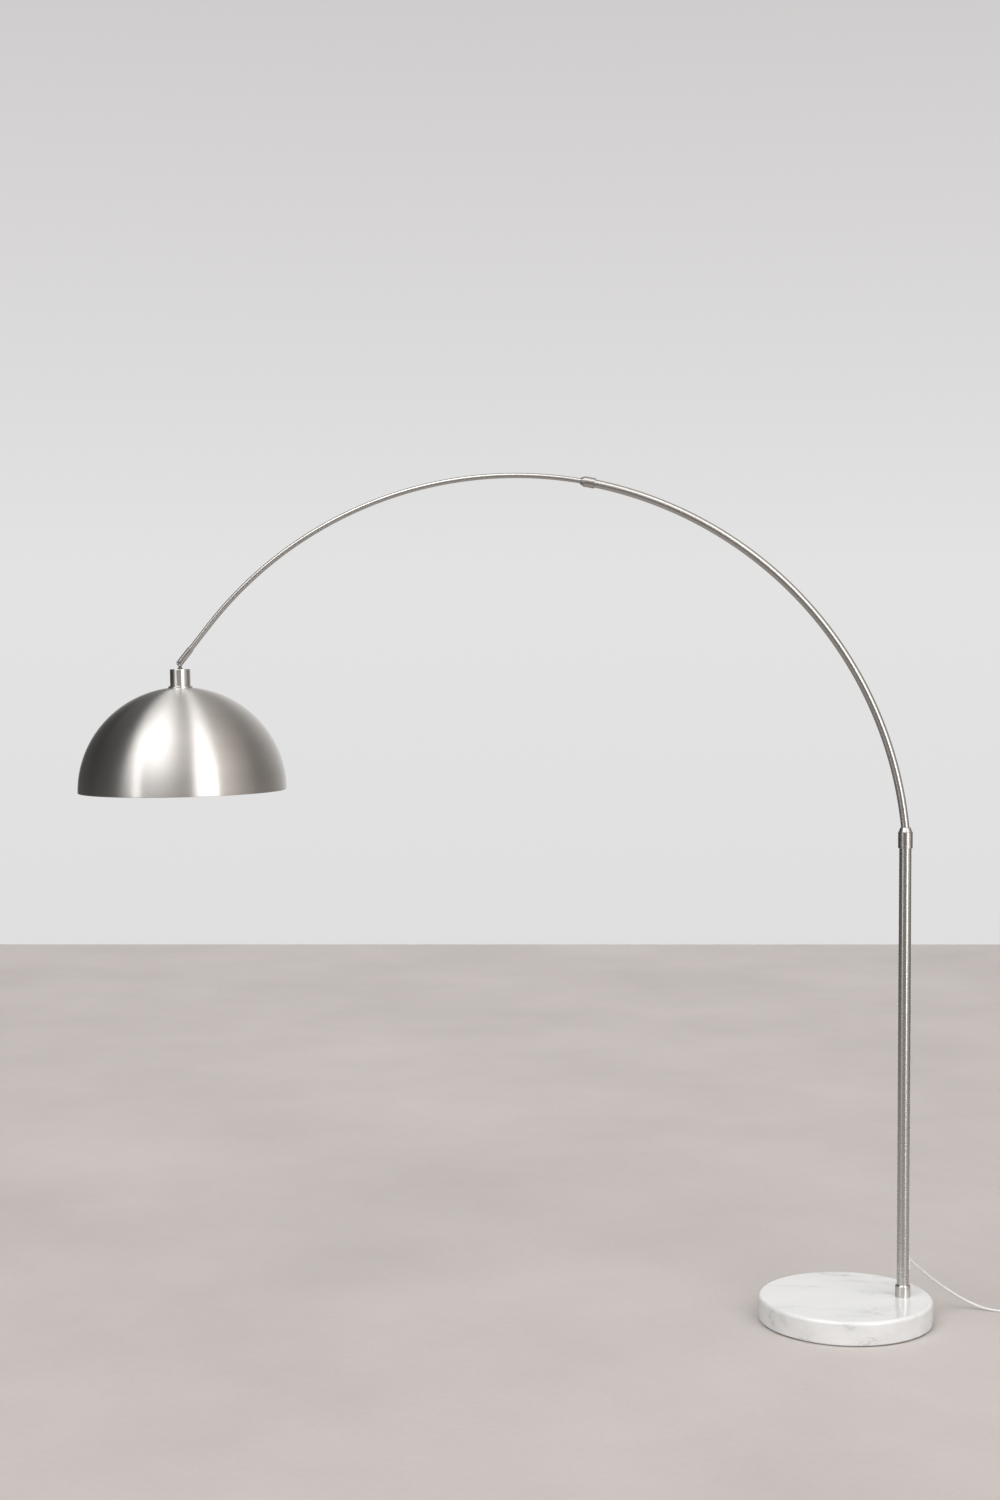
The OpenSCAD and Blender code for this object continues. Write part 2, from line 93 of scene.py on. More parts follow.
def lathe(profile, n=96, closed=False):
    """Turns (r, z) points about Z. U runs along the profile, V around. A point at r 0 closes the form."""
    verts, faces, uvs, rows, run = [], [], [], [], [0.0]
    for i, (r, z) in enumerate(profile):
        if i:
            run.append(run[-1] + math.hypot(r - profile[i - 1][0], z - profile[i - 1][1]))
        if r < 1e-6:
            rows.append([len(verts)])
            verts.append((0, 0, z))
        else:
            rows.append(list(range(len(verts), len(verts) + n)))
            verts += [(r * math.cos(2 * math.pi * k / n), r * math.sin(2 * math.pi * k / n), z) for k in range(n)]
    pairs = list(range(len(profile) - 1)) + ([len(profile) - 1] if closed else [])
    for i in pairs:
        a, b = rows[i], rows[(i + 1) % len(rows)]
        ua = run[i] * MM
        ub = (run[i + 1] if i + 1 < len(run) else run[i] + math.hypot(profile[0][0] - profile[i][0], profile[0][1] - profile[i][1])) * MM
        for k in range(n):
            v0, v1, k1 = k / n, (k + 1) / n, (k + 1) % n
            if len(a) == 1 and len(b) == 1:
                continue
            if len(a) == 1:
                faces.append((a[0], b[k1], b[k]))
                uvs.append([(ua, (v0 + v1) / 2), (ub, v1), (ub, v0)])
            elif len(b) == 1:
                faces.append((a[k], a[k1], b[0]))
                uvs.append([(ua, v0), (ua, v1), (ub, (v0 + v1) / 2)])
            else:
                faces.append((a[k], a[k1], b[k1], b[k]))
                uvs.append([(ua, v0), (ua, v1), (ub, v1), (ub, v0)])
    return verts, faces, uvs


def sweep(frames, ring, closed_ring=True):
    """Joins the same ring of (x, y) points placed by each 4x4 matrix of frames; ends are left open. U runs along."""
    n, verts, faces, uvs, run = len(ring), [], [], [], [0.0]
    for i, f in enumerate(frames):
        if i:
            run.append(run[-1] + (f.translation - frames[i - 1].translation).length)
        verts += [tuple(f @ Vector((x, y, 0))) for x, y in ring]
    for i in range(len(frames) - 1):
        for k in range(n):
            k1 = (k + 1) % n
            a, b = i * n, (i + 1) * n
            faces.append((a + k, a + k1, b + k1, b + k))
            uvs.append([(run[i] * MM, k / n), (run[i] * MM, (k + 1) / n), (run[i + 1] * MM, (k + 1) / n), (run[i + 1] * MM, k / n)])
    return verts, faces, uvs


def pipe(frames, ro, ri, n=48):
    """A hollow tube along frames: outside, inside and the two end rims."""
    outer = [(ro * math.cos(2 * math.pi * k / n), ro * math.sin(2 * math.pi * k / n)) for k in range(n)]
    inner = [(ri * x / ro, ri * y / ro) for x, y in outer]
    v1, f1, u1 = sweep(frames, outer)
    v2, f2, u2 = sweep(frames, inner)
    d = len(v1)
    faces = f1 + [tuple(d + i for i in reversed(f)) for f in f2]
    uvs = u1 + [list(reversed(u)) for u in u2]
    last = (len(frames) - 1) * n
    for k in range(n):
        k1 = (k + 1) % n
        faces.append((k1, k, d + k, d + k1))
        uvs.append([(0, (k + 1) / n), (0, k / n), (0, k / n), (0, (k + 1) / n)])
        faces.append((last + k, last + k1, d + last + k1, d + last + k))
        uvs.append([(0, k / n), (0, (k + 1) / n), (0, (k + 1) / n), (0, k / n)])
    return v1 + v2, faces, uvs


def arc(cx, cy, r, a0, a1, n):
    return [(cx + r * math.cos(math.radians(a0 + (a1 - a0) * k / n)), cy + r * math.sin(math.radians(a0 + (a1 - a0) * k / n))) for k in range(n + 1)]


def smooth(t):
    t = max(0.0, min(1.0, t))
    return t * t * (3 - 2 * t)


# ------------------------------------------------------------------ materials
def new_mat(name, **inputs):
    m = bpy.data.materials.new(name)
    m.use_nodes = True
    b = m.node_tree.nodes["Principled BSDF"]
    for k, v in inputs.items():
        b.inputs[k.replace("_", " ")].default_value = v
    return m, m.node_tree, b


def node(nt, kind, **inputs):
    n = nt.nodes.new(kind)
    for k, v in inputs.items():
        if k in n.inputs:
            n.inputs[k].default_value = v
        else:
            setattr(n, k, v)
    return n


def ramp(nt, stops, source):
    r = nt.nodes.new("ShaderNodeValToRGB")
    e = r.color_ramp.elements
    while len(e) > 1:
        e.remove(e[-1])
    e[0].position = stops[0][0]
    e[0].color = (*stops[0][1], 1) if len(stops[0][1]) == 3 else stops[0][1]
    for p, c in stops[1:]:
        x = e.new(p)
        x.color = (*c, 1)
    nt.links.new(source, r.inputs["Fac"])
    return r


def bump(nt, b, height, strength, distance):
    n = node(nt, "ShaderNodeBump", Strength=strength, Distance=distance)
    nt.links.new(height, n.inputs["Height"])
    nt.links.new(n.outputs["Normal"], b.inputs["Normal"])
    return n


def metal(name, base, rough, aniso, around, along, strength=0.25, tint=0.03, uv=True, band=0.06):
    """Satin metal brushed around the turned or swept form. U is metres along the form and V is one turn."""
    m, nt, b = new_mat(name, Metallic=1.0, Anisotropic=aniso)
    b.inputs["Base Color"].default_value = (*base, 1)
    L = nt.links.new
    if uv:
        src = node(nt, "ShaderNodeUVMap", uv_map="run").outputs["UV"]
        tan = node(nt, "ShaderNodeTangent", direction_type="UV_MAP", uv_map="run")
        scale_fine, scale_broad = (along, around, 1), (along * 0.02, around * 0.5, 1)
        L(tan.outputs["Tangent"], b.inputs["Tangent"])
    else:
        src = node(nt, "ShaderNodeTexCoord").outputs["Object"]
        tan = node(nt, "ShaderNodeTangent", direction_type="RADIAL", axis="Z")
        b.inputs["Anisotropic Rotation"].default_value = 0.25
        scale_fine, scale_broad = (around * 4, around * 4, along), (around * 2, around * 2, along * 0.02)
        L(tan.outputs["Tangent"], b.inputs["Tangent"])
    mf = node(nt, "ShaderNodeMapping", Scale=scale_fine)
    mb = node(nt, "ShaderNodeMapping", Scale=scale_broad)
    L(src, mf.inputs["Vector"])
    L(src, mb.inputs["Vector"])
    fine = node(nt, "ShaderNodeTexNoise", Scale=1.0, Detail=1.5, Roughness=0.5)
    broad = node(nt, "ShaderNodeTexNoise", Scale=1.0, Detail=2.0, Roughness=0.5)
    L(mf.outputs["Vector"], fine.inputs["Vector"])
    L(mb.outputs["Vector"], broad.inputs["Vector"])
    rr = node(nt, "ShaderNodeMapRange")
    rr.inputs["From Min"].default_value, rr.inputs["From Max"].default_value = 0.25, 0.75
    rr.inputs["To Min"].default_value, rr.inputs["To Max"].default_value = rough - band, rough + band
    L(fine.outputs["Fac"], rr.inputs["Value"])
    L(rr.outputs["Result"], b.inputs["Roughness"])
    lo = tuple(c * (1 - tint) for c in base)
    hi = tuple(min(1, c * (1 + tint)) for c in base)
    cr = ramp(nt, [(0.3, lo), (0.7, hi)], broad.outputs["Fac"])
    L(cr.outputs["Color"], b.inputs["Base Color"])
    bump(nt, b, fine.outputs["Fac"], strength, 0.00004)
    return m


def plain_metal(name, base, rough, grain=900.0, strength=0.15):
    """Plated or cast metal with a faint grain."""
    m, nt, b = new_mat(name, Metallic=1.0)
    L = nt.links.new
    src = node(nt, "ShaderNodeTexCoord").outputs["Object"]
    n1 = node(nt, "ShaderNodeTexNoise", Scale=grain, Detail=3.0, Roughness=0.6)
    n2 = node(nt, "ShaderNodeTexNoise", Scale=grain * 0.06, Detail=2.0, Roughness=0.5)
    L(src, n1.inputs["Vector"])
    L(src, n2.inputs["Vector"])
    rr = node(nt, "ShaderNodeMapRange")
    rr.inputs["To Min"].default_value, rr.inputs["To Max"].default_value = rough - 0.06, rough + 0.08
    L(n2.outputs["Fac"], rr.inputs["Value"])
    L(rr.outputs["Result"], b.inputs["Roughness"])
    cr = ramp(nt, [(0.3, tuple(c * 0.93 for c in base)), (0.7, tuple(min(1, c * 1.05) for c in base))], n2.outputs["Fac"])
    L(cr.outputs["Color"], b.inputs["Base Color"])
    bump(nt, b, n1.outputs["Fac"], strength, 0.00005)
    return m


def plastic(name, base, rough, grain=1500.0, strength=0.12, coat=0.0, spec=0.5, sss=0.0):
    """Moulded plastic or glazed ceramic: faint spark-eroded grain and slight colour drift."""
    m, nt, b = new_mat(name, Roughness=rough)
    b.inputs["Coat Weight"].default_value = coat
    b.inputs["Coat Roughness"].default_value = 0.08
    b.inputs["Specular IOR Level"].default_value = spec
    L = nt.links.new
    src = node(nt, "ShaderNodeTexCoord").outputs["Object"]
    n1 = node(nt, "ShaderNodeTexNoise", Scale=grain, Detail=2.0, Roughness=0.55)
    n2 = node(nt, "ShaderNodeTexNoise", Scale=35.0, Detail=3.0, Roughness=0.55)
    L(src, n1.inputs["Vector"])
    L(src, n2.inputs["Vector"])
    rr = node(nt, "ShaderNodeMapRange")
    rr.inputs["To Min"].default_value, rr.inputs["To Max"].default_value = max(0.02, rough - 0.05), rough + 0.07
    L(n2.outputs["Fac"], rr.inputs["Value"])
    L(rr.outputs["Result"], b.inputs["Roughness"])
    cr = ramp(nt, [(0.3, tuple(c * 0.965 for c in base)), (0.7, tuple(min(1, c * 1.02) for c in base))], n2.outputs["Fac"])
    L(cr.outputs["Color"], b.inputs["Base Color"])
    bump(nt, b, n1.outputs["Fac"], strength, 0.00008)
    return m


def marble_mat():
    m, nt, b = new_mat("white_marble")
    b.inputs["Coat Weight"].default_value = 0.35
    b.inputs["Coat Roughness"].default_value = 0.06
    b.inputs["Specular IOR Level"].default_value = 0.5
    L = nt.links.new
    src = node(nt, "ShaderNodeTexCoord").outputs["Object"]
    place = node(nt, "ShaderNodeMapping", Rotation=(math.radians(8), math.radians(-6), math.radians(24)), Scale=(1.0, 3.2, 3.2))
    L(src, place.inputs["Vector"])
    warp = node(nt, "ShaderNodeTexNoise", Scale=4.0, Detail=5.0, Roughness=0.55)
    L(place.outputs["Vector"], warp.inputs["Vector"])
    push = node(nt, "ShaderNodeVectorMath", operation="MULTIPLY_ADD")
    push.inputs[1].default_value = (0.22, 0.22, 0.22)
    L(warp.outputs["Color"], push.inputs[0])
    L(place.outputs["Vector"], push.inputs[2])
    # soft clouds, then narrow veins where a warped noise crosses its middle
    cloud = node(nt, "ShaderNodeTexNoise", Scale=5.5, Detail=4.0, Roughness=0.5)
    vein = node(nt, "ShaderNodeTexNoise", Scale=7.5, Detail=7.0, Roughness=0.62)
    hair = node(nt, "ShaderNodeTexNoise", Scale=19.0, Detail=6.0, Roughness=0.6)
    for n in (cloud, vein, hair):
        L(push.outputs["Vector"], n.inputs["Vector"])

    def ridge(source, width):
        off = node(nt, "ShaderNodeMath", operation="SUBTRACT")
        off.inputs[1].default_value = 0.5
        L(source, off.inputs[0])
        ab = node(nt, "ShaderNodeMath", operation="ABSOLUTE")
        L(off.outputs[0], ab.inputs[0])
        mr = node(nt, "ShaderNodeMapRange", interpolation_type="SMOOTHSTEP")
        mr.inputs["From Min"].default_value, mr.inputs["From Max"].default_value = 0.0, width
        mr.inputs["To Min"].default_value, mr.inputs["To Max"].default_value = 1.0, 0.0
        L(ab.outputs[0], mr.inputs["Value"])
        return mr.outputs["Result"]

    r1, r2 = ridge(vein.outputs["Fac"], 0.030), ridge(hair.outputs["Fac"], 0.016)
    mask = node(nt, "ShaderNodeMapRange", interpolation_type="SMOOTHSTEP")
    mask.inputs["From Min"].default_value, mask.inputs["From Max"].default_value = 0.54, 0.74
    L(cloud.outputs["Fac"], mask.inputs["Value"])
    v1 = node(nt, "ShaderNodeMath", operation="MULTIPLY")
    L(r1, v1.inputs[0])
    L(mask.outputs["Result"], v1.inputs[1])
    v2 = node(nt, "ShaderNodeMath", operation="MULTIPLY")
    v2.inputs[1].default_value = 0.10
    L(r2, v2.inputs[0])
    add = node(nt, "ShaderNodeMath", operation="ADD", use_clamp=True)
    L(v1.outputs[0], add.inputs[0])
    L(v2.outputs[0], add.inputs[1])
    base = ramp(nt, [(0.30, (0.785, 0.785, 0.782)), (0.5, (0.76, 0.76, 0.757)), (0.64, (0.70, 0.702, 0.70)), (0.8, (0.63, 0.634, 0.634))], cloud.outputs["Fac"])
    mix = node(nt, "ShaderNodeMix", data_type="RGBA")
    mix.inputs["B"].default_value = (0.36, 0.365, 0.37, 1)
    # the RGBA sockets carry the same names as the float ones, so they are picked by place
    L(base.outputs["Color"], mix.inputs[6])
    mix.inputs[7].default_value = (0.36, 0.365, 0.37, 1)
    L(add.outputs[0], mix.inputs[0])
    L(mix.outputs[2], b.inputs["Base Color"])
    rr = node(nt, "ShaderNodeMapRange")
    rr.inputs["To Min"].default_value, rr.inputs["To Max"].default_value = 0.16, 0.30
    L(cloud.outputs["Fac"], rr.inputs["Value"])
    L(rr.outputs["Result"], b.inputs["Roughness"])
    fine = node(nt, "ShaderNodeTexNoise", Scale=600.0, Detail=2.0, Roughness=0.5)
    L(src, fine.inputs["Vector"])
    bump(nt, b, fine.outputs["Fac"], 0.06, 0.00005)
    return m


def felt_mat():
    m, nt, b = new_mat("black_felt", Roughness=0.95)
    b.inputs["Sheen Weight"].default_value = 0.4
    L = nt.links.new
    src = node(nt, "ShaderNodeTexCoord").outputs["Object"]
    n = node(nt, "ShaderNodeTexNoise", Scale=900.0, Detail=4.0, Roughness=0.7)
    L(src, n.inputs["Vector"])
    cr = ramp(nt, [(0.3, (0.035, 0.035, 0.036)), (0.7, (0.10, 0.10, 0.102))], n.outputs["Fac"])
    L(cr.outputs["Color"], b.inputs["Base Color"])
    bump(nt, b, n.outputs["Fac"], 0.6, 0.0004)
    return m


STEEL = (0.60, 0.580, 0.555)
tube_mat = metal("satin_tube", STEEL, 0.32, 0.6, 2.0, 420.0, strength=0.012, band=0.015)
post_mat = metal("satin_post", STEEL, 0.27, 0.8, 2.0, 420.0, uv=False, strength=0.012, band=0.015)
shade_mat = metal("spun_shade", (0.70, 0.675, 0.65), 0.35, 1.0, 1.5, 1200.0, strength=0.04, tint=0.03, band=0.02)
cup_mat = metal("satin_cup", (0.68, 0.66, 0.63), 0.30, 0.9, 2.0, 700.0, uv=False, strength=0.02, band=0.015)
nut_mat = metal("knurled_metal", (0.56, 0.54, 0.515), 0.30, 0.2, 8.0, 900.0, strength=0.1)
ferrule_mat = metal("satin_ferrule", (0.60, 0.58, 0.555), 0.30, 0.0, 10.0, 420.0, uv=False, strength=0.012, band=0.015)
dark_mat = plain_metal("dark_joint", (0.16, 0.15, 0.145), 0.34)
zinc_mat = plain_metal("zinc_plate", (0.58, 0.585, 0.58), 0.30)
brass_mat = plain_metal("plain_brass", (0.72, 0.56, 0.28), 0.28)
nylon_mat = plastic("natural_nylon", (0.74, 0.71, 0.62), 0.45)
porcelain_mat = plastic("glazed_porcelain", (0.84, 0.82, 0.77), 0.22, grain=300.0, strength=0.05, coat=0.5)
white_mat = plastic("white_moulding", (0.72, 0.72, 0.705), 0.34)
cord_mat = plastic("white_sheath", (0.76, 0.76, 0.75), 0.42, grain=2500.0, strength=0.2)
marble = marble_mat()
felt = felt_mat()

SLOT_MAT = {"felt": felt, "marble": marble, "brushed_steel": post_mat, "knurled_steel": nut_mat, "spun_metal": shade_mat,
            "dark_steel": dark_mat, "zinc_steel": zinc_mat, "nylon": nylon_mat, "porcelain": porcelain_mat,
            "brass": brass_mat, "white_plastic": white_mat, "cord_white": cord_mat}
OWN_MAT = {"arm_ferrule": ferrule_mat, "socket_cup": cup_mat, "cup_flange": cup_mat, "foot_collar": cup_mat}
slots = {s["node"]: s["material_slot"] for s in frame["record"]["subparts"]}
for name, o in frame["nodes"].items():
    mat = OWN_MAT.get(name) or SLOT_MAT[slots[name]]
    if not o.material_slots:
        o.data.materials.append(mat)
    for s in o.material_slots:
        s.material = mat

# ------------------------------------------------------------------ the cord
LEAD = [(143.5, 9.6, 143.5), (158.7, 22.4, 128.4), (163.4, 26.3, 123.7), (171, 33, 116.5), (180, 40.5, 108), (190, 48, 98.5),
        (203, 57, 86), (217, 65, 73.5), (232, 72, 61.5), (248, 78.5, 49.5), (264, 83.5, 38.5), (281, 86.5, 27.5), (298, 87, 18.5),
        (315, 85.5, 11), (332, 81, 6), (348, 75, 3.4), (363, 69, 2.8), (377, 64.5, 3.4), (389, 61.8, 5), (400, 61, 6), (406, 61, 6)]
INSIDE = [(424, 61, 5.2), (435, 61, 4.4), (447, 61, 4.4), (459, 61, 4.4), (470, 61, 5.2)]
LINK = [(488, 61, 6), (494, 61, 6), (503, 62.8, 5.2), (511, 68, 4.3), (516.6, 76, 3.7), (519, 85.5, 3.6), (519.2, 96, 3.6), (519, 106, 3.6)]
TAIL = [(524.5, 131, 8.7), (524.5, 139, 7.7), (524.5, 147, 6.9), (524.5, 160, 6.9)]
CX, CY, RI, RM, RO = 480.5, 122.0, 27.5, 33.0, 38.5


def coil_points():
    """Six turns: three inwards on the floor, three outwards on top of them. Each steps sideways near its end."""
    pts, radii = [], [38.5, 33.0, 27.5, 27.5, 33.0, 38.5, 44.0]
    per = 24
    for turn in range(6):
        for k in range(per):
            a = 360.0 * k / per
            t = smooth((a - 300) / 60)
            r = radii[turn] + (radii[turn + 1] - radii[turn]) * t
            z = 3.55 if turn < 2 else 9.05 if turn > 2 else 3.55 + 5.5 * t
            if turn == 2:
                r -= 2.4 * math.sin(math.pi * t)
            pts.append((CX + r * math.cos(math.radians(a)), CY + r * math.sin(math.radians(a)), z))
    pts.append((CX + 44.0, CY, 9.05))
    return pts


route = LEAD + INSIDE + LINK + coil_points() + TAIL
cu = bpy.data.curves.new("mains_cord", "CURVE")
cu.dimensions = "3D"
cu.bevel_depth = 2.75 * MM
cu.bevel_resolution = 5
cu.resolution_u = 6
cu.use_fill_caps = True
sp = cu.splines.new("BEZIER")
sp.bezier_points.add(len(route) - 1)
for i, p in enumerate(route):
    b = sp.bezier_points[i]
    b.co = Vector(p) * MM
    b.handle_left_type = b.handle_right_type = "AUTO"
cord = bpy.data.objects.new("mains_cord", cu)
scene.collection.objects.link(cord)
cu.materials.append(cord_mat)
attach(cord, "base")
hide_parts("cord_lead", "cord_link", "cord_coil", "cord_tail")

# ------------------------------------------------------------------ tubes
fr = [on_arm(LEAN + (79.28 - LEAN) * k / 220) for k in range(221)]
make("lower_bent_tube", *pipe(fr, 9.5, 8.0)[:2], "lower_arm", "brushed_steel", tube_mat, uvs=pipe(fr, 9.5, 8.0)[2], replaces=["lower_arm_tube"])
fr = [on_arm(64 + (141.5 - 64) * k / 240) for k in range(241)]
endf = on_arm(141.5)
fr += [endf @ Matrix.Translation((0, 0, 92.0 * k / 6)) for k in range(1, 7)]
p = pipe(fr, 6.0, 4.8, 40)
make("upper_bent_tube", p[0], p[1], "upper_arm", "brushed_steel", tube_mat, uvs=p[2], replaces=["upper_arm_tube"])

# ------------------------------------------------------------------ shade
R = 240.0
prof = [(R * math.sin(math.radians(a)), -296 + R * math.cos(math.radians(a))) for a in [4.62 + (89.6 - 4.62) * k / 110 for k in range(111)]]
prof += [(240.0, -295.2), (239.8, -295.75), (239.3, -296.0), (238.3, -296.0), (237.7, -295.7), (237.45, -295.0), (237.45, -294.2), (237.8, -293.6), (238.5, -293.2), (238.95, -292.6)]
prof += [(239.0 * math.sin(math.radians(a)), -296 + 239.0 * math.cos(math.radians(a))) for a in [89.0 + (4.64 - 89.0) * k / 110 for k in range(111)]]
v, f, u = lathe(prof, 256, closed=True)
f = [tuple(reversed(x)) for x in f]
u = [list(reversed(x)) for x in u]
make("spun_dome", v, f, "shade", "spun_metal", shade_mat, uvs=u, sharp=40, place=SHADE, replaces=["shade_dome"])


# ------------------------------------------------------------------ knurled nuts
def knurl(name, place, body, node_name, r, z0, z1, before, after, teeth, depth):
    """A nut whose band between z0 and z1 carries a raised diamond pattern; before and after close it."""
    n, rows = teeth * 4, max(12, int((z1 - z0) / (2 * math.pi * r / teeth) * 4))
    verts, faces, uvs = [], [], []
    profile = [(a, b, False) for a, b in before] + [(r, z0 + (z1 - z0) * k / rows, True) for k in range(rows + 1)] + [(a, b, False) for a, b in after]
    for i, (pr, z, knurled) in enumerate(profile):
        for k in range(n):
            d = 0.0
            if knurled:
                fade = smooth(min((z - z0) / 0.8, (z1 - z) / 0.8))
                p1 = k / 4.0 + (z - z0) / (2 * math.pi * r / teeth)
                p2 = k / 4.0 - (z - z0) / (2 * math.pi * r / teeth)
                g = max(1 - 2 * abs(p1 - round(p1)) * 2, 0) ** 1.0, max(1 - 2 * abs(p2 - round(p2)) * 2, 0) ** 1.0
                d = -depth * max(g[0], g[1]) * fade
            a = 2 * math.pi * k / n
            verts.append(((pr + d) * math.cos(a), (pr + d) * math.sin(a), z))
    m = len(profile)
    for i in range(m):
        j = (i + 1) % m
        for k in range(n):
            k1 = (k + 1) % n
            faces.append((i * n + k, i * n + k1, j * n + k1, j * n + k))
            uvs.append([(profile[i][1] * MM, k / n), (profile[i][1] * MM, (k + 1) / n), (profile[j][1] * MM, (k + 1) / n), (profile[j][1] * MM, k / n)])
    return make(name, verts, faces, body, "knurled_steel", nut_mat, uvs=uvs, sharp=50, place=place, replaces=[node_name])


z = 1097.0
knurl("post_nut_knurled", POST, "post_nut", "post_clamp_nut", 16.5, z + 0.8, z + 37.0,
      [(13.6, z + 31), (13.6, z + 9), (14.3, z + 8), (14.3, z), (15.9, z), (16.3, z + 0.2)],
      [(16.3, z + 37.6), (15.6, z + 38), (15.1, z + 38), (14.9, z + 38.6), (12.1, z + 46.9), (11.7, z + 47.4), (11.2, z + 47.5), (10.9, z + 47.2), (10.9, z + 38)],
      72, 0.28)
knurl("arm_nut_knurled", on_arm(79.15), "arm_nut", "arm_clamp_nut", 11.9, -16.2, 8.7,
      [(9.8, 9), (11, 8), (11, -7), (10, -8), (10, -17), (11.4, -17), (11.7, -16.8)],
      [(11.7, 9.2), (11.3, 9.5), (10.8, 9.5), (10.6, 9.8), (8.0, 16.5), (7.6, 16.9), (7.0, 17), (6.7, 16.8), (6.7, 13)],
      54, 0.26)


# ------------------------------------------------------------------ strain relief
def relief_saddle():
    """An oval pad that hugs the post at azimuth 40.1 and height 134, proud by 2.8 in the middle."""
    nt_, ns = 64, 14
    def outline(t):
        c, q = math.cos(t), math.sin(t)
        return 13.0 * c, 13.0 * q + (9.0 if q > 1e-9 else -9.0 if q < -1e-9 else 0.0)
    verts, faces = [], []
    for side in (0, 1):
        verts.append(None)
        centre = len(verts) - 1
        a0 = math.radians(40.1)
        rr = 16.8 if side == 0 else 13.9
        verts[centre] = (132 + rr * math.cos(a0), rr * math.sin(a0), 134)
        first = len(verts)
        for i in range(1, ns + 1):
            q = i / ns
            q = 1 - (1 - q) ** 1.6
            for k in range(nt_):
                w, h = outline(2 * math.pi * k / nt_)
                a = a0 + q * w / 14.0
                rr = 14.0 + 2.8 * math.sqrt(max(0.0, 1 - q ** 7)) if side == 0 else 13.9
                if side == 0 and i == ns:
                    rr = 13.95
                verts.append((132 + rr * math.cos(a), rr * math.sin(a), 134 + q * h))
        for k in range(nt_):
            k1 = (k + 1) % nt_
            f0 = (centre, first + k, first + k1)
            faces.append(f0 if side == 0 else tuple(reversed(f0)))
            for i in range(ns - 1):
                f1 = (first + i * nt_ + k, first + (i + 1) * nt_ + k, first + (i + 1) * nt_ + k1, first + i * nt_ + k1)
                faces.append(f1 if side == 0 else tuple(reversed(f1)))
        if side == 0:
            rim = first + (ns - 1) * nt_
    other = first + (ns - 1) * nt_
    for k in range(nt_):
        k1 = (k + 1) % nt_
        faces.append((rim + k, other + k, other + k1, rim + k1))
    return verts, faces


v, f = relief_saddle()
make("relief_saddle", v, f, "base", "white_plastic", white_mat, sharp=45, replaces=["cord_strain_relief"])
prof = [(2.80, 25.0), (2.80, -2.5), (5.6, -2.5)]
for k in range(56):
    z = 0.6 + 23.2 * k / 55
    groove = 0.5 * (0.5 - 0.5 * math.cos(2 * math.pi * (z - 2.0) / 3.3)) if 2.0 < z < 21.8 else 0.0
    prof.append((5.6 - 0.072 * z - groove, z))
prof += [(3.75, 24.4), (3.55, 24.85), (3.2, 25.0)]
v, f, u = lathe(prof, 40, closed=True)
make("relief_boot", v, f, "base", "white_plastic", white_mat, uvs=u, sharp=50, place=BOOT)

# ------------------------------------------------------------------ foot switch
def stadium(cx, cy, length, width, inset, n=96):
    rad, half = width / 2 - inset, (length - width) / 2
    pts = []
    for k in range(n):
        a = 2 * math.pi * (k + 0.5) / n
        pts.append((cx + (half if math.cos(a) > 0 else -half) + rad * math.cos(a), cy + rad * math.sin(a)))
    return pts


def circle(cx, cy, rad, n=96):
    return [(cx + rad * math.cos(2 * math.pi * (k + 0.5) / n), cy + rad * math.sin(2 * math.pi * (k + 0.5) / n)) for k in range(n)]


def stack(rings, closed=False, caps=True):
    """Joins rings of the same count, each ([(x, y)], z)."""
    n, verts, faces = len(rings[0][0]), [], []
    for pts, z in rings:
        verts += [(x, y, z) for x, y in pts]
    for i in range(len(rings) if closed else len(rings) - 1):
        a, b = i * n, ((i + 1) % len(rings)) * n
        for k in range(n):
            k1 = (k + 1) % n
            faces.append((a + k, a + k1, b + k1, b + k))
    if caps and not closed:
        faces.append(tuple(range(n - 1, -1, -1)))
        faces.append(tuple(range((len(rings) - 1) * n, len(rings) * n)))
    return verts, faces


SX, SY, SL, SW = 447.0, 61.0, 70.0, 30.0
rings = [(stadium(SX, SY, SL, SW, 1.4), 0.0), (stadium(SX, SY, SL, SW, 0.5), 0.35), (stadium(SX, SY, SL, SW, 0.0), 1.3),
         (stadium(SX, SY, SL, SW, 0.0), 9.5), (stadium(SX, SY, SL, SW, 0.15), 9.8), (stadium(SX, SY, SL, SW, 0.45), 9.85), (stadium(SX, SY, SL, SW, 0.45), 10.0),
         (stadium(SX, SY, SL, SW, 2.0), 10.0), (stadium(SX, SY, SL, SW, 2.0), 1.9), (stadium(SX, SY, SL, SW, 2.4), 1.5)]
v, f = stack(rings)
case = make("switch_case", v, f, "base", "white_plastic", white_mat, sharp=50, replaces=["switch_base"])
for tag, x, d in (("in", 413.2, -1), ("out", 480.8, 1)):
    prof = [(2.80, 12.0), (2.80, 0.0), (4.0, 0.0)]
    for k in range(37):
        z = 1.0 + 10.2 * k / 36
        prof.append((4.0 - 0.033 * z - 0.4 * (0.5 - 0.5 * math.cos(2 * math.pi * (z - 1.0) / 2.55)), z))
    prof += [(3.5, 11.8), (3.2, 12.0)]
    v, f, u = lathe(prof, 32, closed=True)
    make("switch_nose_" + tag, v, f, "base", "white_plastic", white_mat, uvs=u, sharp=50,
                      place=Matrix.Translation((x, SY, 6.0)) @ Matrix.Rotation(math.radians(90 * d), 4, "Y"))
rings = [(stadium(SX, SY, SL, SW, 0.45), 10.0), (stadium(SX, SY, SL, SW, 0.45), 10.15), (stadium(SX, SY, SL, SW, 0.1), 10.25), (stadium(SX, SY, SL, SW, 0.0), 10.6),
         (stadium(SX, SY, SL, SW, 0.0), 15.8)]
